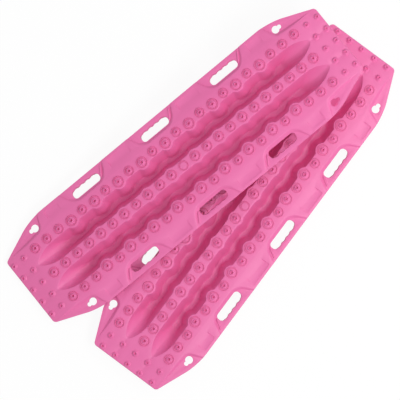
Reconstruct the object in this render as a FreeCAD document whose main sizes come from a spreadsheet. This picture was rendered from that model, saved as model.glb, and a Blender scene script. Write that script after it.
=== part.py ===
import FreeCAD, Part
import Sketcher
import math
import os

# A pair of vehicle traction boards, one lying across the other.
#
# Each board is one thin-walled plastic moulding. A flat crown carries rows of gripping studs, two
# deep channels with scalloped walls run almost from end to end and form the keels that the board
# stands on, and the flanges hold lowered hand grips and keyhole slots.
#
# Board frame: X along the board, Y across it, Z up, with z = 0 under the keels.
# Part frame: the lower board's X and Y, with the origin under the middle of the pair's box.

SIZES = {
    # outline of one board
    "half_length": 577,
    "half_width": 165,
    "taper_length": 130,  # from the end to where the tapered corner's line meets the long side's
    "taper_drop": 54,  # from the long side to where that line meets the end's
    "taper_radius": 205,
    "corner_radius": 11,
    # shell
    "skin": 4,
    "rim_height": 9,
    "flange_width": 57,
    "flange_drop": 6,
    "end_plate": 77,
    "end_drop": 12,
    # channels
    "channel_depth": 54,
    "ridge_half_width": 16.5,
    "channel_width": 57,
    "channel_end_margin": 3,
    "ramp_length": 98,
    "draft": 18,
    "ramp_round": 9,
    # scallops in the channel walls
    "ridge_scallop_radius": 20,
    "side_scallop_radius": 20.5,
    "side_scallop_inset": 10.5,
    # studs
    "stud_pitch": 44,
    "stud_radius": 12.5,
    "foot_height": 1.5,
    "nub_radius": 8.8,
    "stud_top_radius": 7,
    "stud_height": 8,
    "pit_radius": 4,
    "pit_depth": 5,
    "big_stud_radius": 13.5,
    "small_stud_inset": 15,
    "row_end_margin": 12,
    "end_stud_edge": 11,
    "end_stud_step": 38,
    "end_stud_spread": 44,
    "end_stud_radius": 10.5,
    "gate_radius": 12.5,
    "gate_height": 1.2,
    # hand slots and keyholes
    "grip_spacing": 257,
    "grip_bar": 16,
    "slot_length": 97,
    "slot_width": 26,
    "slot_end_radius": 12,
    "keyhole_from_end": 126.5,
    "keyhole_from_side": 29.5,
    "keyhole_radius": 11.3,
    "keyhole_neck_radius": 6.5,
    "keyhole_neck_offset": 13,
    # lowered pockets around them
    "pocket_depth": 10,
    "pocket_wall_slope": 30,
    "slot_margin": 6,
    "grip_pocket_tuck": 3.5,
    "grip_pocket_flare": 23.5,
    "key_pocket_end_margin": 9.5,
    "key_pocket_side_margin": 11.5,
    "key_pocket_lean": 0.46,
    # bare label recesses
    "label_depth": 1.5,
    "label_inner_margin": 21,
    "label_outer_margin": 8,
    "wide_label_length": 74,
    "short_label_offset": 63,
    "short_label_length": 50,
    # how the upper board lies on the lower one
    "upper_x": -7.7,
    "upper_y": 202.5,
    "upper_turn": -14.155,
    "rest_gap": 0.4,
}
OVERCUT = 1.0  # how far a cutter reaches past the face it breaks through
PAST_EDGE = 20.0  # how far the pockets' cutters reach past the board's outline
FOOT_STEP = 0.25  # the steps in which the keel's foot is followed along the board
RIM_STEP = 2.0  # and those in which the rim is

doc = FreeCAD.newDocument("traction_boards")
sheet = doc.addObject("Spreadsheet::Sheet", "sizes")
for row, (alias, value) in enumerate(SIZES.items(), start=1):
    sheet.set(f"A{row}", alias)
    sheet.set(f"B{row}", str(value))
    sheet.setAlias(f"B{row}", alias)
doc.recompute()


def size(alias):
    return float(sheet.get(alias))


PLATEAU = "(sizes.channel_depth + sizes.skin)"
ABOVE = f"({PLATEAU} + {OVERCUT})"
SIDE_SKIN = "(sizes.skin / cos(sizes.draft))"  # the skin's width, measured level, in a drafted wall
RAMP_SLOPE = "(sizes.channel_depth / sizes.ramp_length)"

CROWN_X = "(sizes.half_length - sizes.end_plate)"
CROWN_Y = "(sizes.half_width - sizes.flange_width)"
END_SLOPE = "(sizes.end_drop / sizes.end_plate)"
FLANGE_SLOPE = "(sizes.flange_drop / sizes.flange_width)"
TAPER_X = "(sizes.half_length - sizes.taper_length)"
TAPER_Y = "(sizes.half_width - sizes.taper_drop)"
TAPER_ANGLE = "atan(sizes.taper_drop / sizes.taper_length)"
CHANNEL_X = f"({CROWN_X} - sizes.channel_end_margin)"
CHANNEL_OUTER = "(sizes.ridge_half_width + sizes.channel_width)"
SCALLOP_Y = f"({CHANNEL_OUTER} + sizes.side_scallop_inset)"
SLOT_OUTER = "(sizes.half_width - sizes.grip_bar)"
SLOT_INNER = f"({SLOT_OUTER} - sizes.slot_width)"
GRIP_POCKET_Y = f"({SLOT_INNER} - sizes.slot_margin)"
KEYHOLE_X = "(sizes.half_length - sizes.keyhole_from_end)"
KEYHOLE_Y = "(sizes.half_width - sizes.keyhole_from_side)"
KEY_POCKET_X = f"({KEYHOLE_X} - sizes.key_pocket_end_margin)"
KEY_POCKET_Y = f"({KEYHOLE_Y} - sizes.key_pocket_side_margin)"
POCKET_FLOOR = f"({PLATEAU} - sizes.pocket_depth)"
LABEL_INNER = f"({CROWN_Y} + sizes.label_inner_margin)"
LABEL_OUTER = "(sizes.half_width - sizes.label_outer_margin)"
SHORT_LABEL_X = f"({KEY_POCKET_X} - sizes.short_label_offset)"


def bind(item, **expressions):
    for prop, expression in expressions.items():
        item.setExpression(prop, str(expression))


def move(item, x="0", y="0", z="0"):
    for prop, expression in (("x", x), ("y", y), ("z", z)):
        item.setExpression(f"Placement.Base.{prop}", str(expression))


def wedge(name, low, high):
    """A block between two level rectangles, each (z, x0, x1, y0, y1).

    Part::Wedge grows along its own Y, so it is turned to grow along Z.
    """
    item = doc.addObject("Part::Wedge", name)
    item.Placement.Rotation = FreeCAD.Rotation(FreeCAD.Vector(1, 0, 0), 90)
    z, x0, x1, y0, y1 = low
    bind(item, Ymin=z, Xmin=x0, Xmax=x1, Zmin=f"-({y1})", Zmax=f"-({y0})")
    z, x0, x1, y0, y1 = high
    bind(item, Ymax=z, X2min=x0, X2max=x1, Z2min=f"-({y1})", Z2max=f"-({y0})")
    return item


def cone(name, low_radius, high_radius, height, x, y, z):
    item = doc.addObject("Part::Cone", name)
    bind(item, Radius1=low_radius, Radius2=high_radius, Height=height)
    move(item, x, y, z)
    return item


def cylinder(name, radius, height, x, y, z):
    item = doc.addObject("Part::Cylinder", name)
    bind(item, Radius=radius, Height=height)
    move(item, x, y, z)
    return item


def fuse(name, shapes):
    item = doc.addObject("Part::MultiFuse", name)
    item.Shapes = shapes
    return item


def common(name, shapes):
    item = doc.addObject("Part::MultiCommon", name)
    item.Shapes = shapes
    return item


def cut(name, base, tool):
    item = doc.addObject("Part::Cut", name)
    item.Base = base
    item.Tool = tool
    return item


def polygon(name, corners, z):
    """A closed sketch whose corners are pinned to expressions for X and Y."""
    sketch = doc.addObject("Sketcher::SketchObject", name)
    count = len(corners)
    places = [FreeCAD.Vector(sheet_value(x), sheet_value(y), 0) for x, y in corners]
    for i in range(count):
        sketch.addGeometry(Part.LineSegment(places[i], places[(i + 1) % count]), False)
    for i in range(count):
        sketch.addConstraint(Sketcher.Constraint("Coincident", i, 2, (i + 1) % count, 1))
    for i, (x, y) in enumerate(corners):
        for kind, value, at in (("DistanceX", x, places[i].x), ("DistanceY", y, places[i].y)):
            index = sketch.addConstraint(Sketcher.Constraint(kind, -1, 1, i, 1, at))
            sketch.setExpression(f"Constraints[{index}]", value)
    sketch.setExpression("Placement.Base.z", z)
    return sketch


def sheet_value(expression):
    """What an expression over the sheet comes to."""
    return float(sheet.evalExpression(expression))


def prism(name, corners, z, height):
    item = doc.addObject("Part::Extrusion", name)
    item.Base = polygon(name + "_outline", corners, z)
    item.DirMode = "Custom"
    item.Dir = FreeCAD.Vector(0, 0, 1)
    item.Solid = True
    bind(item, LengthFwd=height)
    return item


def leaning_prism(name, corners, z, height, slope):
    """A prism whose flat walls lean outward by slope. A tapered extrusion would make them splines."""
    low, high = sheet_value(z), sheet_value(z) + sheet_value(height)
    spread = sheet_value(height) * math.tan(math.radians(sheet_value(slope)))
    foot = [FreeCAD.Vector(sheet_value(x), sheet_value(y), low) for x, y in corners]
    if sum(a.x * b.y - b.x * a.y for a, b in zip(foot, foot[1:] + foot[:1])) < 0:
        foot.reverse()
    head = []
    for before, here, after in zip(foot[-1:] + foot[:-1], foot, foot[1:] + foot[:1]):
        normals = []
        for a, b in ((before, here), (here, after)):
            along = (b - a).normalize()
            normals.append(FreeCAD.Vector(along.y, -along.x, 0))
        both = normals[0] + normals[1]
        head.append(here + both * (2 * spread / both.Length**2) + FreeCAD.Vector(0, 0, high - low))
    walls = [[foot[i - 1], foot[i], head[i], head[i - 1]] for i in range(len(foot))]
    faces = [Part.Face(Part.makePolygon(ring + ring[:1])) for ring in [foot, head] + walls]
    item = doc.addObject("Part::Feature", name)
    item.Shape = Part.Solid(Part.Shell(faces))
    if item.Shape.Volume < 0:
        item.Shape = item.Shape.reversed()
    return item


def rounded(name, base, chosen):
    """Rounds the edges of base for which chosen(edge) gives a radius."""
    doc.recompute()
    item = doc.addObject("Part::Fillet", name)
    item.Base = base
    radii = [(i, chosen(edge)) for i, edge in enumerate(base.Shape.Edges, start=1)]
    item.Edges = [(i, radius, radius) for i, radius in radii if radius]
    return item


# --- the cover: the board's top surface as a solid, which the shell is cut from ---------------------


def crown(name, drop):
    """A flat crown whose flanges and ends slope down, lowered by drop."""
    half_length = f"({CROWN_X} + {PLATEAU} / {END_SLOPE})"
    half_width = f"({CROWN_Y} + {PLATEAU} / {FLANGE_SLOPE})"
    item = wedge(
        name,
        ("0", f"-{half_length}", half_length, f"-{half_width}", half_width),
        (PLATEAU, f"-{CROWN_X}", CROWN_X, f"-{CROWN_Y}", CROWN_Y),
    )
    move(item, z=f"-({drop})")
    return item


def outline(name, inset):
    """The board's plan outline, a prism with rounded corners, moved in by inset on every side."""
    end_x = f"(sizes.half_length - {inset})"
    side_y = f"(sizes.half_width - {inset})"
    taper_x = f"({TAPER_X} - {inset} * tan({TAPER_ANGLE} / 2))"
    taper_y = f"({TAPER_Y} - {inset} * (1 - sin({TAPER_ANGLE})) / cos({TAPER_ANGLE}))"
    quarter = [(end_x, taper_y), (taper_x, side_y)]
    corners = [(f"{sx}{x}", f"{sy}{y}")
               for sx, sy, order in (("", "", 1), ("-", "", -1), ("-", "-", 1), ("", "-", -1))
               for x, y in quarter[::order]]
    block = prism(name + "_block", corners, "0", PLATEAU)
    corner_radius = size("corner_radius") - sheet_value(inset)
    taper_radius = size("taper_radius") - sheet_value(inset)

    def radius(edge):
        x, y, _ = edge.CenterOfMass
        upright = edge.BoundBox.XLength < 0.01 and edge.BoundBox.YLength < 0.01
        if not upright:
            return None
        return corner_radius if abs(x) > sheet_value(taper_x) + 1 else taper_radius

    return rounded(name, block, radius)


def pockets(name, drop):
    """The lowered parts of the flanges, as cutters whose walls lean outward, lowered by drop."""
    beyond = f"(sizes.half_width + {PAST_EDGE})"
    height = f"(sizes.pocket_depth + {OVERCUT})"
    floor = f"({POCKET_FLOOR} - {drop})"
    inner = "(sizes.slot_length / 2 - sizes.grip_pocket_tuck)"
    flare = "(sizes.grip_pocket_flare + sizes.grip_pocket_tuck)"
    reach = f"({inner} + ({beyond} - {GRIP_POCKET_Y}) * {flare} / (sizes.half_width - {GRIP_POCKET_Y}))"
    key_top = f"({KEY_POCKET_X} - ({beyond} - {KEY_POCKET_Y}) * sizes.key_pocket_lean)"
    past_end = f"(sizes.half_length + {PAST_EDGE})"
    fall = f"(({KEY_POCKET_Y} - {TAPER_Y}) / (sizes.half_length - {KEY_POCKET_X}))"
    end_line = f"({TAPER_Y} - {PAST_EDGE} * {fall})"
    cutters = []
    for sy, side in (("", "left"), ("-", "right")):
        for step in (-1, 0, 1):
            middle = f"({step} * sizes.grip_spacing)"
            corners = [
                (f"{middle} - {inner}", f"{sy}{GRIP_POCKET_Y}"),
                (f"{middle} + {inner}", f"{sy}{GRIP_POCKET_Y}"),
                (f"{middle} + {reach}", f"{sy}{beyond}"),
                (f"{middle} - {reach}", f"{sy}{beyond}"),
            ]
            cutters.append(leaning_prism(f"{name}_grip_{side}_{step + 2}", corners, floor, height,
                                 "sizes.pocket_wall_slope"))
        for sx, end in (("", "front"), ("-", "back")):
            corners = [
                (f"{sx}{KEY_POCKET_X}", f"{sy}{KEY_POCKET_Y}"),
                (f"{sx}{past_end}", f"{sy}{end_line}"),
                (f"{sx}{past_end}", f"{sy}{beyond}"),
                (f"{sx}{key_top}", f"{sy}{beyond}"),
            ]
            cutters.append(leaning_prism(f"{name}_key_{side}_{end}", corners, floor, height,
                                 "sizes.pocket_wall_slope"))
    return fuse(name, cutters)


def cover(name, drop, inset, lowered):
    solid = common(name + "_plain", [outline(name + "_outline", inset), crown(name + "_crown", drop)])
    return cut(name, solid, lowered)


pocket_skins = pockets("pocket_skins", "sizes.skin")
top = cover("top", "0", "0", pockets("pocket_tops", "0"))
hollow = cover("hollow", "sizes.skin", "sizes.skin", pocket_skins)
below_rim = cut("below_rim", crown("under_rim", "sizes.rim_height"), pocket_skins)
shell = cut("shell", top, fuse("inside", [hollow, below_rim]))


# --- channels: cut as drafted troughs, and carried by troughs one skin larger -----------------------


def trough(name, side, skin, high):
    """One drafted channel from its floor up to the level high, grown by skin on all its faces."""
    low = f"(sizes.skin - {skin})"
    level = f"({skin} / cos(sizes.draft))"
    ends = f"({skin} / sin(atan({RAMP_SLOPE})))"

    def rectangle(z):
        up = f"({PLATEAU} - {z})"
        inner = f"(sizes.ridge_half_width + {up} * tan(sizes.draft) - {level})"
        outer = f"({CHANNEL_OUTER} - {up} * tan(sizes.draft) + {level})"
        end = f"({CHANNEL_X} - {up} / {RAMP_SLOPE} + {ends})"
        y0, y1 = (inner, outer) if side > 0 else (f"-{outer}", f"-{inner}")
        return z, f"-{end}", end, y0, y1

    block = wedge(name + "_block", rectangle(low), rectangle(high))
    round_radius = size("ramp_round") + sheet_value(skin)

    def radius(edge):
        return round_radius if edge.BoundBox.ZLength > 1 else None

    return rounded(name, block, radius)


def scallops(name, skin, low, high):
    """The bulges of the channel walls, as cones, with each one a skin smaller for the underside."""
    height = f"({high} - {low})"

    def bulge(kind, number, radius, x, y):
        level = f"({skin} / cos(sizes.draft))"
        foot = f"({radius} + ({PLATEAU} - {low}) * tan(sizes.draft) - {level})"
        head = f"({radius} + ({PLATEAU} - {high}) * tan(sizes.draft) - {level})"
        return cone(f"{name}_{kind}_{number}", foot, head, height, x, y, low)

    bulges = []
    for i in range(2 * RIDGE_SCALLOPS_EACH_WAY):
        x = f"({2 * (i - RIDGE_SCALLOPS_EACH_WAY) + 1}) * sizes.stud_pitch"
        bulges.append(bulge("ridge", i + 1, "sizes.ridge_scallop_radius", x, "0"))
    for side in (1, -1):
        for i in range(2 * SIDE_SCALLOPS_EACH_WAY + 1):
            x = f"({2 * (i - SIDE_SCALLOPS_EACH_WAY)}) * sizes.stud_pitch"
            kind = "left" if side > 0 else "right"
            bulges.append(bulge(kind, i + 1, "sizes.side_scallop_radius", x,
                                f"{side} * {SCALLOP_Y}"))
    return fuse(name, bulges)


# a scallop's foot stays on the flat floor, clear of the ramps
FOOT_REACH = sheet_value(
    f"{CHANNEL_X} - sizes.ramp_length - sizes.side_scallop_radius"
    " - sizes.channel_depth * tan(sizes.draft)"
)
SIDE_SCALLOPS_EACH_WAY = int(FOOT_REACH / (2 * size("stud_pitch")))
RIDGE_SCALLOPS_EACH_WAY = int((FOOT_REACH + size("stud_pitch")) / (2 * size("stud_pitch")))
NO_SKIN = "0"
MID_SKIN = f"({PLATEAU} - sizes.skin / 2)"
channels = cut(
    "channels",
    fuse("channel_pair", [trough("channel_left", 1, NO_SKIN, ABOVE),
                          trough("channel_right", -1, NO_SKIN, ABOVE)]),
    scallops("scallop_cones", NO_SKIN, f"(sizes.skin - {OVERCUT})", f"({ABOVE} + {OVERCUT})"),
)
keels = cut(
    "keels",
    fuse("keel_pair", [trough("keel_left", 1, "sizes.skin", MID_SKIN),
                       trough("keel_right", -1, "sizes.skin", MID_SKIN)]),
    scallops("keel_cones", "sizes.skin", f"(0 - {OVERCUT})", f"({MID_SKIN} + {OVERCUT})"),
)


# --- slots, keyholes and label recesses -------------------------------------------------------------


def hand_slot(name, x, side):
    """A long slot through the pocket floor with rounded corners."""
    through = f"({PLATEAU} - sizes.rim_height)"
    item = doc.addObject("Part::Box", name + "_block")
    bind(item, Length="sizes.slot_length", Width="sizes.slot_width", Height=PLATEAU)
    edge = SLOT_INNER if side > 0 else f"-{SLOT_OUTER}"
    move(item, f"{x} - sizes.slot_length / 2", edge, f"{PLATEAU} - {through}")
    radius = size("slot_end_radius")

    def upright(found):
        return radius if found.BoundBox.ZLength > 1 else None

    return rounded(name, item, upright)


openings = []
for side in (1, -1):
    hand = "left" if side > 0 else "right"
    for step in (-1, 0, 1):
        openings.append(hand_slot(f"hand_slot_{hand}_{step + 2}", f"({step} * sizes.grip_spacing)", side))
    for end in (1, -1):
        where = f"{hand}_{'front' if end > 0 else 'back'}"
        y = f"({side} * {KEYHOLE_Y})"
        neck_x = f"{end} * ({KEYHOLE_X} + sizes.keyhole_neck_offset)"
        openings.append(cylinder(f"keyhole_{where}", "sizes.keyhole_radius", PLATEAU,
                                 f"{end} * {KEYHOLE_X}", y, "sizes.rim_height"))
        openings.append(cylinder(f"keyhole_neck_{where}", "sizes.keyhole_neck_radius", PLATEAU,
                                 neck_x, y, "sizes.rim_height"))


def label_recess(name, x, length, side):
    """A shallow bare recess that follows the flange's slope."""
    item = doc.addObject("Part::Box", name)
    bind(item, Length=length, Width=f"{LABEL_OUTER} - {LABEL_INNER}",
         Height="sizes.label_depth + 10")
    slope = math.degrees(math.atan(sheet_value(FLANGE_SLOPE)))
    item.Placement.Rotation = FreeCAD.Rotation(FreeCAD.Vector(1, 0, 0), -side * slope)
    near = LABEL_INNER if side > 0 else LABEL_OUTER
    drop = f"(({near} - {CROWN_Y}) * {FLANGE_SLOPE})"
    move(item, f"{x} - {length} / 2", f"{side} * {near}", f"{PLATEAU} - {drop} - sizes.label_depth")
    return item


labels = []
for side in (1, -1):
    for end in (1, -1):
        where = f"{'left' if side > 0 else 'right'}_{'front' if end > 0 else 'back'}"
        labels.append(label_recess(f"wide_label_{where}", f"{end} * sizes.grip_spacing / 2",
                                   "sizes.wide_label_length", side))
        labels.append(label_recess(f"short_label_{where}", f"{end} * {SHORT_LABEL_X}",
                                   "sizes.short_label_length", side))


# --- studs -------------------------------------------------------------------------------------------

STUDS_EACH_WAY = int(sheet_value(f"({CROWN_X} - sizes.row_end_margin) / sizes.stud_pitch"))
OUTER_ROW = "(sizes.half_length - sizes.end_stud_edge)"
SINK = "(sizes.skin / 2)"  # how far a stud's foot reaches into the skin


def stud(name, x, y, foot_radius, surface):
    """A stud as a low round foot with a tapered nub on it, and the pit in its top."""
    sunk = f"{surface} - {SINK}"
    foot = cylinder(name + "_foot", foot_radius, f"sizes.foot_height + {SINK}", x, y, sunk)
    nub = cone(name + "_nub", "sizes.nub_radius", "sizes.stud_top_radius", f"sizes.stud_height + {SINK}",
               x, y, sunk)
    floor = f"{surface} + sizes.stud_height - sizes.pit_depth"
    pit = cone(name + "_pit", "sizes.pit_radius / 2",
               f"sizes.pit_radius * (1 + {OVERCUT} / sizes.pit_depth / 2)",
               f"sizes.pit_depth + {OVERCUT}", x, y, floor)
    return foot, nub, pit


studs = []
for k in range(-STUDS_EACH_WAY, STUDS_EACH_WAY + 1):
    x = f"({k}) * sizes.stud_pitch"
    number = k + STUDS_EACH_WAY + 1
    if k:
        studs.append(stud(f"ridge_stud_{number}", x, "0", "sizes.stud_radius", PLATEAU))
    big = k % 2 == 0 and abs(k) <= 2 * SIDE_SCALLOPS_EACH_WAY
    line = SCALLOP_Y if big else f"({CHANNEL_OUTER} + sizes.small_stud_inset)"
    radius = "sizes.big_stud_radius" if big else "sizes.stud_radius"
    for side in (1, -1):
        hand = "left" if side > 0 else "right"
        studs.append(stud(f"{hand}_stud_{number}", x, f"{side} * {line}", radius, PLATEAU))
for end in (1, -1):
    for row, x in (("inner", f"({OUTER_ROW} - sizes.end_stud_step)"), ("outer", OUTER_ROW)):
        surface = f"({PLATEAU} - ({x} - {CROWN_X}) * {END_SLOPE})"
        for i in range(-2, 3):
            name = f"{'front' if end > 0 else 'back'}_{row}_stud_{i + 3}"
            studs.append(stud(name, f"{end} * {x}", f"{i} * sizes.end_stud_spread",
                              "sizes.end_stud_radius", surface))

gate = cylinder("gate_disc", "sizes.gate_radius", f"sizes.gate_height + {SINK}", "0", "0",
                f"{PLATEAU} - {SINK}")


# --- one whole board ---------------------------------------------------------------------------------

moulding = fuse("moulding", [shell, keels])
opened = cut("opened", moulding, fuse("openings", [channels] + openings + labels))
raised = [piece for foot, nub, _ in studs for piece in (foot, nub)]
studded = fuse("studded", [opened, gate] + raised)
board = cut("board", studded, fuse("pits", [pit for _, _, pit in studs]))


# --- how the upper board leans: one keel corner on the ground, the rest over the lower board ---------


def keel_over_edge(turn, foot, keel_end):
    """Where the scalloped foot of the inner keel first comes over the lower board's long edge."""
    scallop = sheet_value(f"sizes.side_scallop_radius + {PLATEAU} * tan(sizes.draft) - {SIDE_SKIN}")
    line, pitch = sheet_value(SCALLOP_Y), 2 * size("stud_pitch")
    x = -keel_end
    while x < keel_end:
        off = x - pitch * min(max(round(x / pitch), -SIDE_SCALLOPS_EACH_WAY), SIDE_SCALLOPS_EACH_WAY)
        y = -min(foot, line - math.sqrt(max(scallop * scallop - off * off, 0)))
        if size("upper_y") + x * math.sin(turn) + y * math.cos(turn) < size("half_width"):
            return x, y
        x += FOOT_STEP
    return keel_end, -foot


def crown_height(x, y):
    """The height of a board's top over the flange."""
    fall = (abs(y) - sheet_value(CROWN_Y)) * sheet_value(FLANGE_SLOPE)
    return sheet_value(PLATEAU) - fall - max(abs(x) - sheet_value(CROWN_X), 0) * sheet_value(END_SLOPE)


def rim_over_flange(turn):
    """Places on the near rim that lie over the lower board's flange, and how far they have to rise."""
    places = []
    x = 0.0
    while x > -size("half_length"):
        y = max(-x - sheet_value(TAPER_X), 0) * sheet_value(f"tan({TAPER_ANGLE})") - size("half_width")
        over_x = size("upper_x") + x * math.cos(turn) - y * math.sin(turn)
        over_y = size("upper_y") + x * math.sin(turn) + y * math.cos(turn)
        if sheet_value(CROWN_Y) < over_y < size("half_width"):
            places.append((x, y, crown_height(over_x, over_y) - crown_height(x, y) + size("rim_height")))
        x -= RIM_STEP
    return places


def upper_lean(slack):
    """The rise of the upper board's ground plane along its X and across its Y, and over its origin.

    Three places set it: the far corner of its outer keel stands on the ground, its inner keel passes
    over the lower board's long edge beside the middle grip, and its near rim passes over the lower
    board's flange by the rim's taper. The keel's corner is rounded, so the board can drop by slack
    before it stands.
    """
    turn = math.radians(size("upper_turn"))
    gap = size("rest_gap")
    plateau = sheet_value(PLATEAU)
    edge_height = plateau - size("flange_drop")
    foot = sheet_value(f"{CHANNEL_OUTER} - {PLATEAU} * tan(sizes.draft) + {SIDE_SKIN}")
    keel_end = sheet_value(
        f"{CHANNEL_X} - {PLATEAU} / {RAMP_SLOPE} + sizes.skin / sin(atan({RAMP_SLOPE}))")
    over_edge_x, over_edge_y = keel_over_edge(turn, foot, keel_end)
    rise_edge = edge_height + gap + slack
    ax, ay = over_edge_x + keel_end, over_edge_y - foot
    leans = [(0.0, rise_edge / ax)]
    for rim_x, rim_y, overlap in rim_over_flange(turn):
        rise_rim = overlap + gap + slack
        bx, by = rim_x + keel_end, rim_y - foot
        scale = ax * by - bx * ay
        along = (rise_edge * by - rise_rim * ay) / scale
        across = (ax * rise_rim - bx * rise_edge) / scale
        leans.append((across, along))
    across, along = min(leans)
    return along, across, along * keel_end - across * foot


def upper_placement(slack):
    along, across, rise = upper_lean(slack)
    x_axis = FreeCAD.Vector(1, 0, along)
    z_axis = FreeCAD.Vector(-along, -across, 1)
    lean = FreeCAD.Rotation(x_axis, z_axis.cross(x_axis), z_axis, "ZXY")
    turn = FreeCAD.Rotation(FreeCAD.Vector(0, 0, 1), size("upper_turn"))
    place = FreeCAD.Vector(size("upper_x"), size("upper_y"), rise - slack)
    return FreeCAD.Placement(place, turn * lean)


def exact_box(item):
    return item.Shape.optimalBoundingBox(False)


doc.recompute()


def node(name):
    item = doc.addObject("Part::Compound", name)
    item.Links = [board]
    item.Label = name
    return item


lower_board = node("lower_board")
upper_board = node("upper_board")
doc.recompute()
slack = 0.0
for _ in range(3):
    upper_board.Placement = upper_placement(slack)
    slack += exact_box(upper_board).ZMin
upper_board.Placement.move(FreeCAD.Vector(0, 0, -exact_box(upper_board).ZMin))

# put the origin under the middle of the pair's box
box = FreeCAD.BoundBox()
for item in (lower_board, upper_board):
    box.add(exact_box(item))
for item in (lower_board, upper_board):
    item.Placement.move(FreeCAD.Vector(-box.Center.x, -box.Center.y, -box.ZMin))
doc.recompute()

for item in doc.Objects:
    if any(word in item.State for word in ("Invalid", "Error")):
        raise RuntimeError(f"{item.Name} failed to build")
os.makedirs("parts", exist_ok=True)
for item in (lower_board, upper_board):
    if item.Shape.isNull() or not item.Shape.isValid():
        raise RuntimeError(f"{item.Label} has no valid shape")
    item.Shape.exportStep(f"parts/{item.Label}.step")
print("upper board:", upper_board.Placement)
print("lower board:", lower_board.Placement)
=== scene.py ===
import math

import bpy
import bmesh
from mathutils import Matrix, Vector


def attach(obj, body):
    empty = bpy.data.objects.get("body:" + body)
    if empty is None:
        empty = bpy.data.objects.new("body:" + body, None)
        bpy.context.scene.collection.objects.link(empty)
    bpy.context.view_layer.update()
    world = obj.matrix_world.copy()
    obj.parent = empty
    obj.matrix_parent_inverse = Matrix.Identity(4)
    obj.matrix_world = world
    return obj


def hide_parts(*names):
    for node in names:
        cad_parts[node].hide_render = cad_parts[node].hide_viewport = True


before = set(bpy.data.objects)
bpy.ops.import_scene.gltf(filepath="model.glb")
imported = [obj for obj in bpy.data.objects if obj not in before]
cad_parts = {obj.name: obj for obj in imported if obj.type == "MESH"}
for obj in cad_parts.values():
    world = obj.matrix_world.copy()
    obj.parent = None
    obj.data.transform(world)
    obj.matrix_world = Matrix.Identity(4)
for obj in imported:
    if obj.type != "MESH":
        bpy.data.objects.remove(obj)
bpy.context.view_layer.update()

# A pair of moulded traction boards, the upper one leaning across the lower one.
# Each board is modelled flat, with X along it and the ground under its keels at z = 0, and is then
# laid where the frame has it. Sizes are in millimetres and are turned into metres as meshes are made.

MM = 0.001
TOUCHING = 0.01 * MM  # points nearer than this are one point

# where the boards lie: the lower one level, the upper one rolled about X, pitched about Y and then
# turned about Z, in degrees
LOWER_AT = Vector((8.49292, -153.284, 0.0)) * MM
UPPER_AT = Vector((0.792922, 49.2161, 56.4107)) * MM
UPPER_YAW, UPPER_PITCH, UPPER_ROLL = -14.155, -7.48883, -4.87143

# the board's outline and shell
HALF_LENGTH = 577.0
HALF_WIDTH = 165.0
DECK_HALF_WIDTH = 108.0
PLATEAU = 58.0  # the crown's height over the ground
SKIN = 4.0
RIM = 9.0
CROWN_END = 500.0  # where the level crown ends and the end plate begins to fall
END_SLOPE = 12.0 / 77.0
BEND_START = 96.0  # where the deck begins to bend down into the flange
FLANGE_SLOPE = 6.0 / 57.0
TAPER_START, TAPER_END_WIDTH = 447.0, 111.0
CORNER_RADIUS, CORNER_START = 11.0, 103.7
PULL_START = 520.0  # from here on, the sections bend back towards the rounded corners
EDGE_ROUNDING = 1.5

# the channels, and the ridge between them
PITCH = 44.0  # from stud to stud
CHANNEL_OUTER = 73.5
RIDGE_HALF = 16.5
DRAFT = math.tan(math.radians(18.0))
RAMP_FOOT, RAMP_TOP = 399.0, 510.0
POINT_START, POINT_LENGTH, POINT_RADIUS = 430.0, 82.5, 144.0
SCALLOP_LINE = 84.0
SCALLOP_RADIUS, SCALLOP_BLEND = 21.0, 2.5
RIDGE_SCALLOPS = [PITCH * (2 * i - 7) for i in range(8)]
SIDE_SCALLOPS = [2 * PITCH * (i - 4) for i in range(9)]
CREST_TURN = math.radians(72.0)  # how far a wall's crest turns over: square, less the draft
CREST_DEPTH, CREST_REACH = 0.691, 0.727  # how deep a crest goes and how far back, for a radius of 1


# --- small modelling helpers --------------------------------------------------------------------------


def deselect_all():
    bpy.ops.object.select_all(action="DESELECT")


def pick(piece):
    """Make this piece the only one selected, and active."""
    deselect_all()
    piece.select_set(True)
    bpy.context.view_layer.objects.active = piece


def new_piece(name):
    piece = bpy.context.active_object
    piece.name = name
    piece.data.name = name
    pick(piece)
    return piece


def edit(piece, mode="FACE"):
    pick(piece)
    bpy.ops.object.mode_set(mode="EDIT")
    bpy.ops.mesh.select_mode(type=mode)
    bpy.ops.mesh.select_all(action="DESELECT")


def leave_edit():
    bpy.ops.object.mode_set(mode="OBJECT")


def select_where(piece, kind, test):
    """Select the vertices, edges or faces of the piece in edit mode that pass a test."""
    work = bmesh.from_edit_mesh(piece.data)
    for item in getattr(work, kind):
        if test(item):
            item.select_set(True)
    work.select_flush_mode()
    bmesh.update_edit_mesh(piece.data)


def settle(piece):
    """Put the piece's place, turn and scale into its mesh."""
    pick(piece)
    bpy.ops.object.transform_apply(location=True, rotation=True, scale=True)


def apply_modifier(piece, kind, name, **settings):
    pick(piece)
    modifier = piece.modifiers.new(name, kind)
    for key, value in settings.items():
        setattr(modifier, key, value)
    bpy.ops.object.modifier_apply(modifier=modifier.name)


def boolean(piece, other, operation):
    """Join or cut the piece with another one, which is used up."""
    apply_modifier(piece, "BOOLEAN", operation.lower(), operation=operation, solver="EXACT", object=other)
    bpy.data.objects.remove(other, do_unlink=True)


def join(pieces, name):
    deselect_all()
    for piece in pieces:
        piece.select_set(True)
    bpy.context.view_layer.objects.active = pieces[0]
    bpy.ops.object.join()
    return new_piece(name)


def copy_of(piece, name):
    twin = piece.copy()
    twin.data = piece.data.copy()
    twin.name = twin.data.name = name
    bpy.context.scene.collection.objects.link(twin)
    return twin


def drop_slivers(piece):
    """Dissolve faces and edges that have no size."""
    edit(piece)
    bpy.ops.mesh.select_all(action="SELECT")
    bpy.ops.mesh.dissolve_degenerate(threshold=TOUCHING)
    leave_edit()


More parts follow.
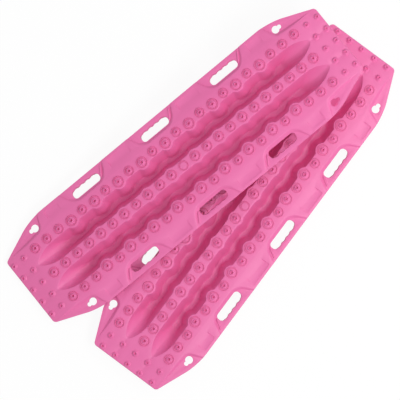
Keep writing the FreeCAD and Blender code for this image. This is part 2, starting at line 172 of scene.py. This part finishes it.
def recalculate_normals(piece):
    edit(piece)
    bpy.ops.mesh.select_all(action="SELECT")
    bpy.ops.mesh.normals_make_consistent(inside=False)
    leave_edit()


def block(name, low, high):
    """A box between two corners, given in millimetres."""
    low, high = Vector(low) * MM, Vector(high) * MM
    deselect_all()
    bpy.ops.mesh.primitive_cube_add(size=1.0, location=(low + high) / 2)
    piece = new_piece(name)
    piece.scale = high - low
    settle(piece)
    return piece


def slice_off(piece, point, normal):
    """Cut off what lies beyond a plane, and close the cut."""
    edit(piece)
    bpy.ops.mesh.select_all(action="SELECT")
    bpy.ops.mesh.bisect(
        plane_co=Vector(point) * MM, plane_no=Vector(normal).normalized(), use_fill=True,
        clear_outer=True, clear_inner=False)
    leave_edit()


def round_edges(piece, test, reach, segments):
    """Round the chosen edges of a piece, from this far to each side of them."""
    edit(piece, "EDGE")
    select_where(piece, "edges", test)
    bpy.ops.mesh.bevel(offset=reach * MM, segments=segments, affect="EDGES", clamp_overlap=True)
    leave_edit()


def upright(edge):
    """True for an edge that stands nearly straight up."""
    along = edge.verts[0].co - edge.verts[1].co
    return abs(along.z) > 3 * math.hypot(along.x, along.y)


def climbs(edge):
    """True for an edge that runs up a wall, however the wall leans."""
    return abs(edge.verts[0].co.z - edge.verts[1].co.z) > 4 * MM


# --- the deck: the studded crown with its two scalloped channels --------------------------------------


def soft_max(a, b, blend):
    """The larger of two lengths, with a smooth change between them."""
    return 0.5 * (a + b + math.sqrt((a - b) ** 2 + blend * blend))


def bulge(x, centres, radius):
    """How far the round scallop nearest to x stands out there, or nothing between two scallops."""
    nearest = min(abs(x - centre) for centre in centres)
    return math.sqrt(max(radius * radius - nearest * nearest, 0.0))


def smooth_step(x, low, high):
    t = min(max((x - low) / (high - low), 0.0), 1.0)
    return t * t * (3 - 2 * t)


def closing_in(x):
    """How far a channel's walls have come in towards its middle, in its pointed end."""
    past = min(max(abs(x) - POINT_START, 0.0), POINT_LENGTH)
    return POINT_RADIUS - math.sqrt(POINT_RADIUS ** 2 - past * past)


def end_fall(x):
    """How far the crown has fallen towards the board's end, with the bend eased."""
    past = abs(x) - CROWN_END
    return max(0.0, END_SLOPE / 3 * (past + 12), END_SLOPE * 2 / 3 * (past + 6), END_SLOPE * past)


def side_fall(y):
    """How far the deck has fallen where it passes into the flange."""
    bend = DECK_HALF_WIDTH - BEND_START
    return FLANGE_SLOPE / (2 * bend) * max(abs(y) - BEND_START, 0.0) ** 2


def section(x, inside):
    """Half of the deck's section at x, from the middle out, as (y, z) pairs in millimetres.

    The inside section is the same one a skin's thickness lower.
    """
    far = abs(x)
    drop = SKIN if inside else 0.0
    side_skin = SKIN * 1.05 if inside else 0.0
    ramp = SKIN + max(far - RAMP_FOOT, 0.0) * (PLATEAU - SKIN) / (RAMP_TOP - RAMP_FOOT)
    top = PLATEAU - drop - end_fall(x)
    floor = max(min(ramp, PLATEAU) - drop, 0.0)
    depth = max(top - floor, 0.05)
    closer = closing_in(x)
    floor = top - depth
    foot = 5.5 + 12.5 * smooth_step(far, RAMP_FOOT - 12, 455) + (3.0 if inside else 0.0)
    foot = min(foot, 28.0 - closer)
    crest = min(0.8 if inside else 1.6, 0.3 * depth)

    def foot_inset(height):
        """How far the rounded foot of a wall reaches into the channel at this height over its floor."""
        if height >= foot:
            return 0.0
        return foot - math.sqrt(foot * foot - (foot - height) ** 2)

    def ridge(z):
        """The y of the channel's wall on the ridge's side."""
        open_out = (top - z) * DRAFT
        straight = RIDGE_HALF + open_out
        round_part = bulge(x, RIDGE_SCALLOPS, SCALLOP_RADIUS + open_out)
        side = soft_max(straight, round_part, SCALLOP_BLEND)
        return side - side_skin + foot_inset(z - floor) + closer

    def bank(z):
        """The y of the channel's wall on the flange's side."""
        open_out = (top - z) * DRAFT
        straight = SCALLOP_LINE - CHANNEL_OUTER + open_out
        round_part = bulge(x, SIDE_SCALLOPS, SCALLOP_RADIUS + open_out)
        side = SCALLOP_LINE - soft_max(straight, round_part, SCALLOP_BLEND)
        return side + side_skin - foot_inset(z - floor) - closer

    # the heights where the walls have points: up the rounded foot, then up the straight part
    reach = depth - CREST_DEPTH * crest
    curved = min(foot, 0.72 * reach)
    turn = math.acos(1 - curved / foot)
    heights = [foot * (1 - math.cos(turn * i / 5)) for i in range(6)]
    heights += [curved + (reach - curved) * i / 3 for i in (1, 2, 3)]
    # each wall's crest turns over into the crown, back from where the wall meets it
    arc = [CREST_TURN * i / 3 for i in range(3)]
    ridge_edge = ridge(top) - CREST_REACH * crest
    bank_edge = bank(top) + CREST_REACH * crest
    ridge_side = [(ridge_edge + crest * math.sin(a), top - crest * (1 - math.cos(a))) for a in arc]
    ridge_side += [(ridge(floor + h), floor + h) for h in reversed(heights)]
    bank_side = [(bank(floor + h), floor + h) for h in heights]
    bank_side += [(bank_edge - crest * math.sin(a), top - crest * (1 - math.cos(a))) for a in reversed(arc)]
    middle = (0.5 * (ridge_side[-1][0] + bank_side[0][0]), floor)
    first = ridge_side[0][0]
    last = bank_side[-1][0]
    points = [(0.0, top), (first * 0.55, top)] + ridge_side + [middle] + bank_side
    bend = DECK_HALF_WIDTH - BEND_START
    edge = [last + (BEND_START - last) * f for f in (0.5, 1.0)]
    edge += [BEND_START + bend * i / 4 for i in (1, 2, 3, 4)]
    return points + [(y, top - side_fall(y)) for y in edge]


def mirrored(points):
    """A whole section from -y to +y out of the half from the middle out."""
    return [(-y, z) for y, z in reversed(points[1:])] + points


def corner_pull(y):
    """How far the plate's rounded corner has pulled the end in at this distance from the middle."""
    past = max(abs(y) - CORNER_START, 0.0)
    return CORNER_RADIUS - math.sqrt(CORNER_RADIUS ** 2 - past * past)


def deck_stations():
    """Where the deck's sections are taken: along it, how deep its inside is, how rounded its edge."""
    inner = HALF_LENGTH - SKIN
    step = PITCH / 16
    half = [i * step for i in range(int(518 / step) + 1)]
    half += [524.0 + i * 9.0 for i in range(6)]
    stations = [(x, SKIN, 0.0) for x in half]
    stations += [(inner, SKIN, 0.0), (inner, RIM, 0.0)]
    for angle in (0, 30, 60, 90):
        a = math.radians(angle)
        x = HALF_LENGTH - EDGE_ROUNDING * (1 - math.sin(a))
        stations.append((x, RIM, EDGE_ROUNDING * (1 - math.cos(a))))
    back = [(-x, under, fall) for x, under, fall in reversed(stations[1:])]
    return back + stations


def closed_section(x, under, fall):
    """The deck's whole outline at x: the top from side to side, and back along the underside."""
    if under == SKIN:
        top = mirrored(section(x, False))
        bottom = mirrored(section(x, True))
    else:
        top = [(y, z - fall) for y, z in mirrored(section(x, False))]
        bottom = [(y, z + fall - RIM) for y, z in top]
    return top + list(reversed(bottom))


def make_deck():
    """The deck, as a closed skin: a grid whose rows are laid on the sections."""
    stations = deck_stations()
    around = len(closed_section(0.0, SKIN, 0.0))
    deselect_all()
    bpy.ops.mesh.primitive_grid_add(x_subdivisions=around, y_subdivisions=len(stations) - 1, size=1.0)
    deck = new_piece("deck")
    points = deck.data.vertices
    for row, (x, under, fall) in enumerate(stations):
        outline = closed_section(x, under, fall)
        outline.append(outline[0])
        for column, (y, z) in enumerate(outline):
            share = max(abs(x) - PULL_START, 0.0) / (HALF_LENGTH - PULL_START)
            along = x - math.copysign(corner_pull(y) * share, x)
            points[row * (around + 1) + column].co = Vector((along, y, z)) * MM
    edit(deck, "VERT")
    bpy.ops.mesh.select_all(action="SELECT")
    bpy.ops.mesh.remove_doubles(threshold=TOUCHING)
    bpy.ops.mesh.select_all(action="DESELECT")
    bpy.ops.mesh.select_non_manifold(extend=False, use_wire=False, use_boundary=True,
                                     use_multi_face=False, use_non_contiguous=False, use_verts=False)
    bpy.ops.mesh.edge_face_add()
    leave_edit()
    drop_slivers(deck)
    recalculate_normals(deck)
    return deck


# --- the flanges: hand grips, keyholes and bare label recesses ----------------------------------------

# the flange's own corners, seen from above
TAPER_ROUNDING, END_ROUNDING = 40.9, 7.3

# the hand slots, by the middle of each along the board, with four finger hollows in their outer side
GRIPS = (-257.0, 0.0, 257.0)
SLOT_HALF_LENGTH = 48.5
SLOT_INNER, SLOT_OUTER = 123.0, 149.0
SLOT_ROUNDING, SLOT_LEAN = 11.0, 0.27
FINGER_STEP = 20.0
LIP = 10.0  # how far the collar round a slot goes down

# the lowered ground round the slots and the keyholes
POCKET_FLOOR = 48.0
POCKET_OPENING = 0.85  # how far a pocket's walls lean out, for each millimetre up
BEYOND_RIM = HALF_WIDTH + 20.0
GRIP_POCKET_HALF, GRIP_POCKET_INNER, GRIP_POCKET_ROUNDING = 54.0, 121.5, 22.0
GRIP_POCKET_MOUTH = 89.03125  # half the cutter's length where it ends, beyond the rim
KEY_POCKET_X, KEY_POCKET_Y, KEY_POCKET_ROUNDING = 441.0, 124.0, 12.0
KEY_POCKET_LEAN = 0.46  # how far its inner end leans towards the board's middle, going outward
KEY_POCKET_END_Y, KEY_POCKET_SLOPE = 111.0, 13.0 / 139.0  # its side beside the deck, at the board's end

# the keyholes, the bare label recesses and the beads
KEYHOLE_X, KEYHOLE_Y = 450.5, 135.5
KEYHOLE_RADIUS, NECK_RADIUS, NECK_STEP = 11.3, 6.5, 13.0
LABELS = ((128.5, 76.0), (378.0, 50.0))  # how far out each label recess is, and its length
LABEL_INNER, LABEL_OUTER, LABEL_FLOOR_LINE = 137.0, 156.0, 129.0
LABEL_DEPTH = 2.8
BEAD_X, BEAD_Y = 59.6, 143.2
BEAD_RADIUS, BEAD_LENGTH, BEAD_TURN = 2.9, 34.0, -32.0


def crown_planes(piece, lower_by):
    """Trim a piece to the crown over the flange: level, falling to the side and to both ends."""
    z = PLATEAU - lower_by - side_fall(DECK_HALF_WIDTH)
    slice_off(piece, (0, DECK_HALF_WIDTH, z), (0, FLANGE_SLOPE, 1))
    for end in (1, -1):
        for steps, before in ((1, 12), (2, 6), (3, 0)):
            slice_off(piece, (end * (CROWN_END - before), DECK_HALF_WIDTH, z),
                      (end * END_SLOPE * steps / 3, FLANGE_SLOPE, 1))


def outline_planes(piece, inset):
    """Trim a piece to the board's plan: its long side and the two tapered corners."""
    slope = (HALF_WIDTH - TAPER_END_WIDTH) / (HALF_LENGTH - TAPER_START)
    length = math.hypot(1.0, slope)
    for end in (1, -1):
        point = (end * (TAPER_START - inset * slope / length), HALF_WIDTH - inset / length, 0)
        slice_off(piece, point, (end * slope, 1, 0))


def flange_blank(name, inset, lower_by):
    """A solid strip of the board's outer side, under the crown's surface."""
    piece = block(name, (-HALF_LENGTH + inset, DECK_HALF_WIDTH - 12, 20),
                  (HALF_LENGTH - inset, HALF_WIDTH - inset, 70))
    outline_planes(piece, inset)
    round_edges(piece, lambda e: upright(e) and abs(abs(e.verts[0].co.x) - TAPER_START * MM) < MM,
                TAPER_ROUNDING - 0.2 * inset, 10)
    if inset < SKIN:
        round_edges(piece, lambda e: upright(e) and abs(abs(e.verts[0].co.x) - HALF_LENGTH * MM) < MM
                    and e.verts[0].co.y > 105 * MM, END_ROUNDING, 6)
        slice_off(piece, (0, DECK_HALF_WIDTH + inset, 0), (0, -1, 0))
    crown_planes(piece, lower_by)
    return piece


def prism(name, corners, low, high, opening):
    """A block on a many-cornered plan, given counter-clockwise, whose walls lean outward going up."""
    deselect_all()
    count = len(corners)
    bpy.ops.mesh.primitive_circle_add(vertices=count, radius=1.0, fill_type="NGON")
    piece = new_piece(name)
    for point, (x, y) in zip(piece.data.vertices, corners):
        point.co = Vector((x, y, low)) * MM
    edit(piece)
    bpy.ops.mesh.select_all(action="SELECT")
    bpy.ops.mesh.extrude_region_move(TRANSFORM_OT_translate={"value": (0, 0, (high - low) * MM)})
    leave_edit()
    spread = (high - low) * opening
    raised = [p for p in piece.data.vertices if p.co.z > (low + high) / 2 * MM]
    for point in raised:
        i = min(range(count), key=lambda n: (corners[n][0] * MM - point.co.x) ** 2
                + (corners[n][1] * MM - point.co.y) ** 2)
        before, here, after = (Vector(corners[(i + k) % count]) for k in (-1, 0, 1))
        d1, d2 = (here - before).normalized(), (after - here).normalized()
        n1, n2 = Vector((d1.y, -d1.x)), Vector((d2.y, -d2.x))
        out = (n1 + n2) / (1 + n1.dot(n2))
        point.co.x += out.x * spread * MM
        point.co.y += out.y * spread * MM
    recalculate_normals(piece)
    return piece


def grip_pocket(middle, grow, floor, top):
    """The cutter of the lowered ground round a hand slot, all its sides moved out by grow."""
    half, mouth = GRIP_POCKET_HALF + grow, GRIP_POCKET_MOUTH + grow
    inner = GRIP_POCKET_INNER - grow
    corners = [(middle - half, inner), (middle + half, inner),
               (middle + mouth, BEYOND_RIM), (middle - mouth, BEYOND_RIM)]
    piece = prism("grip_pocket", corners, floor, top, POCKET_OPENING)
    round_edges(piece, lambda e: climbs(e) and e.verts[0].co.y < 130 * MM,
                GRIP_POCKET_ROUNDING + grow, 7)
    return piece


def key_pocket(end, grow, floor, top):
    """The cutter of the lowered ground round the keyhole at one end, moved out by grow."""
    past_end = 20.0
    inner_x, far_x = KEY_POCKET_X - grow, HALF_LENGTH + past_end
    corners = [
        (end * inner_x, KEY_POCKET_Y - grow),
        (end * far_x, KEY_POCKET_END_Y - past_end * KEY_POCKET_SLOPE - grow),
        (end * far_x, BEYOND_RIM),
        (end * (inner_x - (BEYOND_RIM - KEY_POCKET_Y) * KEY_POCKET_LEAN), BEYOND_RIM)]
    piece = prism("key_pocket", corners[::end], floor, top, POCKET_OPENING)
    round_edges(piece, lambda e: climbs(e) and e.verts[0].co.y < 130 * MM
                and abs(e.verts[0].co.x) < 470 * MM, KEY_POCKET_ROUNDING + grow, 5)
    return piece


def pin(name, x, y, radius, sides, depth=32.0):
    """An upright cylinder that goes right through the flange."""
    deselect_all()
    bpy.ops.mesh.primitive_cylinder_add(vertices=sides, radius=radius * MM, depth=depth * MM,
                                        location=Vector((x, y, 46.0)) * MM)
    return new_piece(name)


def slot_cutter(middle):
    """The cutter of a hand slot: a rounded bar with four finger hollows along its leaning outer side."""
    piece = block("slot", (middle - SLOT_HALF_LENGTH, SLOT_INNER, 30),
                  (middle + SLOT_HALF_LENGTH, SLOT_OUTER - 1.8, 62))
    round_edges(piece, upright, SLOT_ROUNDING, 6)
    for i in range(4):
        finger = pin("finger", middle + FINGER_STEP * (i - 1.5), SLOT_OUTER - 6.0, 1.0, 28)
        finger.scale = (10.4, 6.0, 1.0)
        settle(finger)
        boolean(piece, finger, "UNION")
    for point in piece.data.vertices:
        share = min(max((point.co.y / MM - 136.0) / 8.0, 0.0), 1.0)
        point.co.y += share * (point.co.z - (POCKET_FLOOR - LIP) * MM) * SLOT_LEAN
    return piece


def slot_lip(middle):
    """The collar that goes down round a hand slot, which the fingers close on."""
    piece = block("lip", (middle - SLOT_HALF_LENGTH - 3, SLOT_INNER - 3, POCKET_FLOOR - LIP),
                  (middle + SLOT_HALF_LENGTH + 3, SLOT_OUTER + 4.5, POCKET_FLOOR - 1))
    round_edges(piece, upright, 13.0, 6)
    return piece


def keyhole_cutter(end):
    """The cutter of a keyhole: a round hole with a narrow neck towards the board's end."""
    piece = pin("keyhole", end * KEYHOLE_X, KEYHOLE_Y, KEYHOLE_RADIUS, 40)
    neck = pin("neck", end * (KEYHOLE_X + NECK_STEP), KEYHOLE_Y, NECK_RADIUS, 28, 33.0)
    boolean(piece, neck, "UNION")
    return piece


def label_cutter(x, length):
    """The cutter of a bare recess with steep ends, deepest beside the deck and at its -X end."""
    half = length / 2 - 2.0
    low = 51.0
    corners = [(x - half, LABEL_INNER), (x + half, LABEL_INNER),
               (x + half, LABEL_OUTER), (x - half, LABEL_OUTER)]
    piece = prism("label", corners, low, 70.0, 0.3)
    for point in piece.data.vertices:
        if point.co.y < 140 * MM:
            point.co.y -= (point.co.z - low * MM) * 2.0
    round_edges(piece, climbs, 3.0, 3)
    fall = side_fall(DECK_HALF_WIDTH) + (LABEL_FLOOR_LINE - DECK_HALF_WIDTH) * FLANGE_SLOPE
    slice_off(piece, (x, LABEL_FLOOR_LINE, PLATEAU - LABEL_DEPTH - fall), (0.024, -0.35 * FLANGE_SLOPE, -1))
    return piece


def soften_pockets(flange):
    """Round the upper edges of the lowered grips and keyhole pockets well over."""

    def pocket_edge(edge):
        if len(edge.link_faces) != 2 or min(v.co.z for v in edge.verts) < (POCKET_FLOOR + 1.2) * MM:
            return False
        steep, flat = sorted(edge.link_faces, key=lambda face: face.normal.z)
        return 0.3 < steep.normal.z < 0.93 and flat.normal.z > 0.97

    round_edges(flange, pocket_edge, 3.0, 4)


def make_flange():
    """The left flange, with its rim, hand grips, keyholes and recesses."""
    flange = flange_blank("flange", 0.0, 0.0)
    under = block("under", (-620, 90, 0), (620, 190, 70))
    crown_planes(under, RIM)
    boolean(flange, under, "DIFFERENCE")
    boolean(flange, flange_blank("hollow", SKIN, SKIN), "DIFFERENCE")
    pockets = [(grip_pocket, middle) for middle in GRIPS] + [(key_pocket, end) for end in (1, -1)]
    for pocket, at in pockets:
        trough = pocket(at, SKIN * 0.9, POCKET_FLOOR - SKIN, 60.0)
        boolean(trough, flange_blank("trim", 0.3, 1.0), "INTERSECT")
        boolean(flange, trough, "UNION")
    for pocket, at in pockets:
        boolean(flange, pocket(at, 0.0, POCKET_FLOOR, 75.0), "DIFFERENCE")
    soften_pockets(flange)
    for middle in GRIPS:
        boolean(flange, slot_lip(middle), "UNION")
        boolean(flange, slot_cutter(middle), "DIFFERENCE")
    for end in (1, -1):
        boolean(flange, keyhole_cutter(end), "DIFFERENCE")
        for x, length in LABELS:
            boolean(flange, label_cutter(end * x, length), "DIFFERENCE")
    return flange


def make_beads():
    """The raised bead at the foot of each hand grip's flared +X end."""
    beads = []
    for middle in GRIPS:
        deselect_all()
        bpy.ops.mesh.primitive_cylinder_add(vertices=18, radius=BEAD_RADIUS * MM, depth=BEAD_LENGTH * MM)
        bead = new_piece("bead")
        bead.rotation_euler = (math.radians(90), 0, math.radians(BEAD_TURN))
        bead.location = Vector((middle + BEAD_X, BEAD_Y, POCKET_FLOOR + 0.2)) * MM
        settle(bead)
        round_edges(bead, lambda e: max(len(f.verts) for f in e.link_faces) > 4, 1.6, 3)
        beads.append(bead)
    return join(beads, "beads")


# --- studs -------------------------------------------------------------------------------------------


def lathe(name, profile, steps):
    """Spin a profile of (radius, height) pairs in millimetres into a closed, rounded stud."""
    deselect_all()
    bpy.ops.mesh.primitive_circle_add(vertices=len(profile), radius=1.0, fill_type="NOTHING")
    piece = new_piece(name)
    for point, (radius, height) in zip(piece.data.vertices, profile):
        point.co = Vector((radius, 0, height)) * MM
    edit(piece, "EDGE")
    select_where(piece, "edges", lambda e: all(abs(v.co.x) < TOUCHING for v in e.verts))
    bpy.ops.mesh.delete(type="EDGE")
    bpy.ops.mesh.select_all(action="SELECT")
    bpy.ops.mesh.spin(steps=steps, angle=math.tau, center=(0, 0, 0), axis=(0, 0, 1))
    bpy.ops.mesh.select_all(action="SELECT")
    bpy.ops.mesh.remove_doubles(threshold=TOUCHING)
    bpy.ops.mesh.normals_make_consistent(inside=False)
    leave_edit()
    return piece


def stud_profile(ring, nub):
    """A stud's outline: a nub with a pit in its top, on a low foot inside a groove and a ring."""
    near = nub / 8.4
    inner = [(0, 1.6), (2.4, 1.6), (3.0, 2.8), (3.6, 7.7), (4.1, 8.4), (5.0, 8.4), (5.7, 7.9), (6.9, 4.8),
             (7.4, 4.3), (8.0, 4.1)]
    outer = [(-2.7, 4.1), (-2.4, 3.6), (-2.1, -0.5), (1.5, -0.5), (1.7, 2.6), (2.0, 3.1), (2.4, 2.8),
             (2.9, 0.8), (3.0, -0.9)]
    return [(r * near, z) for r, z in inner] + [(ring + r, z) for r, z in outer] + [(0, -0.9)]


END_STUD_PROFILE = [(0, 1.6), (2.2, 1.6), (2.8, 2.6), (3.4, 5.7), (3.9, 6.3), (4.8, 6.3), (5.6, 5.8),
                    (7.0, 3.0), (7.9, 1.8), (9.2, 1.1), (10.2, 0.3), (10.4, -0.9), (0, -0.9)]
GATE_PROFILE = [(0, 3.3), (8.0, 3.2), (9.7, 3.0), (10.3, 2.5), (10.6, 0.2), (13.0, 0.2), (13.2, 2.3),
                (13.6, 2.8), (14.0, 2.4), (14.6, 0.8), (14.7, -0.9), (0, -0.9)]
SIDE_LINE = 88.5  # the line of the small studs, between the scallops
END_ROWS = (528.0, 566.0)  # the two rows of studs on each end plate


def stud_places():
    """Every stud's place on a board: which stud, where, and how much the plate falls away there."""
    places = []
    for k in range(-11, 12):
        if k:
            places.append(("ridge_stud", k * PITCH, 0.0, 0.0))
        big = k % 2 == 0 and abs(k) <= 8
        for side in (1, -1):
            line = SCALLOP_LINE if big else SIDE_LINE
            places.append(("big_stud" if big else "side_stud", k * PITCH, side * line, 0.0))
    for end in (1, -1):
        for x in END_ROWS:
            for across in range(-2, 3):
                places.append(("end_stud", end * x, across * PITCH, end))
    places.append(("gate", 0.0, 0.0, 0.0))
    return places


def make_studs():
    """All the studs of a board, each set on the plate and turned with it."""
    models = {
        "ridge_stud": lathe("ridge_stud", stud_profile(12.4, 8.4), 28),
        "side_stud": lathe("side_stud", stud_profile(11.6, 8.4), 28),
        "big_stud": lathe("big_stud", stud_profile(13.6, 8.6), 30),
        "end_stud": lathe("end_stud", END_STUD_PROFILE, 24),
        "gate": lathe("gate", GATE_PROFILE, 36)}
    studs = []
    for kind, x, y, end in stud_places():
        stud = copy_of(models[kind], "stud_copy")
        fall = end_fall(x) + side_fall(y)
        stud.location = Vector((x, y, PLATEAU - fall)) * MM
        if end:
            stud.rotation_euler = (0, end * math.atan(END_SLOPE), 0)
        studs.append(stud)
    for model in models.values():
        bpy.data.objects.remove(model, do_unlink=True)
    row = join(studs, "studs")
    settle(row)
    return row


# --- plastic -------------------------------------------------------------------------------------------


class Link:
    """A shader socket that adds Math nodes when it is used in sums."""

    def __init__(self, tree, socket):
        self.tree, self.socket = tree, socket

    def node(self, kind, settings, **inputs):
        """Add a node, with each input given by its name, or by its number after an underscore."""
        made = self.tree.nodes.new(kind)
        for key, value in settings.items():
            setattr(made, key, value)
        for key, value in inputs.items():
            slot = made.inputs[int(key[1:])] if key[0] == "_" else made.inputs[key.replace("_", " ")]
            if isinstance(value, Link):
                self.tree.links.new(value.socket, slot)
            else:
                slot.default_value = value
        return [Link(self.tree, out) for out in made.outputs if out.enabled]

    def math(self, operation, a, b=0.0):
        return self.node("ShaderNodeMath", {"operation": operation}, _0=a, _1=b)[0]

    def __add__(self, other):
        return self.math("ADD", self, other)

    def __radd__(self, other):
        return self.math("ADD", other, self)

    def __mul__(self, other):
        return self.math("MULTIPLY", self, other)

    def __rmul__(self, other):
        return self.math("MULTIPLY", other, self)


def pink_plastic():
    """Satin moulded nylon, one colour all through, with a fine grain and faint flow marks."""
    material = bpy.data.materials.new("pink_plastic")
    material.use_nodes = True
    tree = material.node_tree
    shader = tree.nodes["Principled BSDF"]
    place = Link(tree, tree.nodes.new("ShaderNodeTexCoord").outputs["Object"])
    grain = place.node("ShaderNodeTexNoise", {}, Vector=place, Scale=900.0, Detail=3.0)[0]
    mottle = place.node("ShaderNodeTexNoise", {}, Vector=place, Scale=38.0, Detail=2.0)[0]
    flow = place.node("ShaderNodeTexNoise", {}, Vector=place, Scale=7.0, Detail=2.0)[0]
    tone = place.node(
        "ShaderNodeMix", {"data_type": "RGBA"}, Factor=flow * 0.7 + mottle * 0.3,
        _6=(0.73, 0.14, 0.355, 1), _7=(0.81, 0.167, 0.41, 1))[-1]
    tree.links.new(tone.socket, shader.inputs["Base Color"])
    tree.links.new((0.41 + mottle * 0.08 + grain * 0.06).socket, shader.inputs["Roughness"])
    bump = place.node(
        "ShaderNodeBump", {}, Strength=0.22, Distance=0.0004, Height=grain + mottle * 0.6)[0]
    tree.links.new(bump.socket, shader.inputs["Normal"])
    shader.inputs["IOR"].default_value = 1.5
    return material


# --- put the boards together ---------------------------------------------------------------------------

flange = join([make_flange(), make_beads()], "flange")
other_flange = copy_of(flange, "other_flange")
other_flange.rotation_euler = (0, 0, math.pi)
settle(other_flange)
for side in (flange, other_flange):
    apply_modifier(side, "BEVEL", "soft_edges", width=1.3 * MM, segments=3, limit_method="ANGLE",
                   angle_limit=math.radians(28), use_clamp_overlap=True)
    drop_slivers(side)
moulding = join([make_deck(), flange, other_flange], "moulding")
studs = make_studs()
pink = pink_plastic()
for piece in (moulding, studs):
    piece.data.materials.clear()
    piece.data.materials.append(pink)
    pick(piece)
    bpy.ops.object.shade_smooth_by_angle(angle=math.radians(32))

turn = Matrix.Rotation(math.radians(UPPER_YAW), 4, "Z")
turn = turn @ Matrix.Rotation(math.radians(UPPER_PITCH), 4, "Y")
turn = turn @ Matrix.Rotation(math.radians(UPPER_ROLL), 4, "X")
LAID = {"lower_board": Matrix.Translation(LOWER_AT), "upper_board": Matrix.Translation(UPPER_AT) @ turn}
for board, place in LAID.items():
    for model, part in ((moulding, "moulding"), (studs, "studs")):
        piece = copy_of(model, f"{board}_{part}")
        piece.data.transform(place)
        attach(piece, board)
        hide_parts(board)
for model in (moulding, studs):
    bpy.data.objects.remove(model, do_unlink=True)

# --- floor, light and camera ---------------------------------------------------------------------------


def seen_or_mirrored(tree):
    """1 for what the camera sees straight or in a gloss, 0 for light that falls on a surface."""
    path = tree.nodes.new("ShaderNodeLightPath")
    seen = Link(tree, path.outputs["Is Camera Ray"])
    glossy = Link(tree, path.outputs["Is Glossy Ray"])
    through = Link(tree, path.outputs["Is Transmission Ray"])
    return seen.math("MAXIMUM", seen.math("MAXIMUM", seen, glossy), through)


def mixed(tree, share, first, second, output):
    """Blend from the first shader to the second by a share, into the output."""
    blend = tree.nodes.new("ShaderNodeMixShader")
    tree.links.new(share.socket, blend.inputs[0])
    tree.links.new(first.outputs[0], blend.inputs[1])
    tree.links.new(second.outputs[0], blend.inputs[2])
    tree.links.new(blend.outputs[0], tree.nodes[output].inputs["Surface"])


deselect_all()
bpy.ops.mesh.primitive_plane_add(size=14.0, location=(0, 0, -0.0005))
floor = new_piece("floor")
settle(floor)
paper = bpy.data.materials.new("white_paper")
paper.use_nodes = True
tree = paper.node_tree
shader = tree.nodes["Principled BSDF"]
shader.inputs["Base Color"].default_value = (0.95, 0.95, 0.95, 1)
shader.inputs["Roughness"].default_value = 0.9
shader.inputs["Specular IOR Level"].default_value = 0.1
bright = tree.nodes.new("ShaderNodeEmission")
bright.inputs["Strength"].default_value = 1.0
mixed(tree, seen_or_mirrored(tree) * 0.93, shader, bright, "Material Output")
floor.data.materials.append(paper)

world = bpy.data.worlds.new("studio")
bpy.context.scene.world = world
world.use_nodes = True
tree = world.node_tree
dim, white = tree.nodes["Background"], tree.nodes.new("ShaderNodeBackground")
for sky, strength in ((dim, 0.47), (white, 1.0)):
    sky.inputs["Color"].default_value = (1, 1, 1, 1)
    sky.inputs["Strength"].default_value = strength
mixed(tree, seen_or_mirrored(tree), dim, white, "World Output")


def around(turned, rise, far):
    """A place this far out, at an angle round from +X and a rise above the floor."""
    level = math.cos(math.radians(rise))
    return Vector((level * math.cos(math.radians(turned)), level * math.sin(math.radians(turned)),
                   math.sin(math.radians(rise)))) * far


def lamp(name, at, aim, size, power):
    """A soft square lamp."""
    deselect_all()
    bpy.ops.object.light_add(type="AREA", location=at)
    light = bpy.context.active_object
    light.name = name
    light.data.size = size
    light.data.energy = power
    light.rotation_euler = (Vector(aim) - Vector(at)).to_track_quat("-Z", "Y").to_euler()


lamp("key", around(-90, 58, 7.0), (0, 0, 0), 2.2, 210)
lamp("overhead", (0.95, -0.6, 2.2), (0.95, -0.6, 0), 0.9, 12)
lamp("left_strip", around(126, 24, 3.0), (0, 0, 0), 0.9, 5)
lamp("right_strip", around(-54, 24, 3.0), (0, 0, 0), 0.9, 6)

AZIMUTH, ELEVATION, DISTANCE = 36.644, 86.43, 16.0
SEEN_WIDTH = 1.1515762  # how wide a strip the camera sees at its target
SENSOR = 36.0
TARGET = LOWER_AT + Vector((-62.3, 114.0, PLATEAU)) * MM
deselect_all()
bpy.ops.object.camera_add()
camera = bpy.context.active_object
camera.name = "camera"
up = math.radians(AZIMUTH)
rise = math.radians(ELEVATION)
look = Vector((math.cos(rise) * math.cos(up), math.cos(rise) * math.sin(up), -math.sin(rise)))
camera.location = TARGET - look * DISTANCE
camera.rotation_euler = look.to_track_quat("-Z", "Y").to_euler()
camera.data.sensor_width = SENSOR
camera.data.lens = SENSOR * DISTANCE / SEEN_WIDTH
camera.data.clip_end = 60
bpy.context.scene.camera = camera

bpy.context.scene.view_settings.view_transform = "Standard"
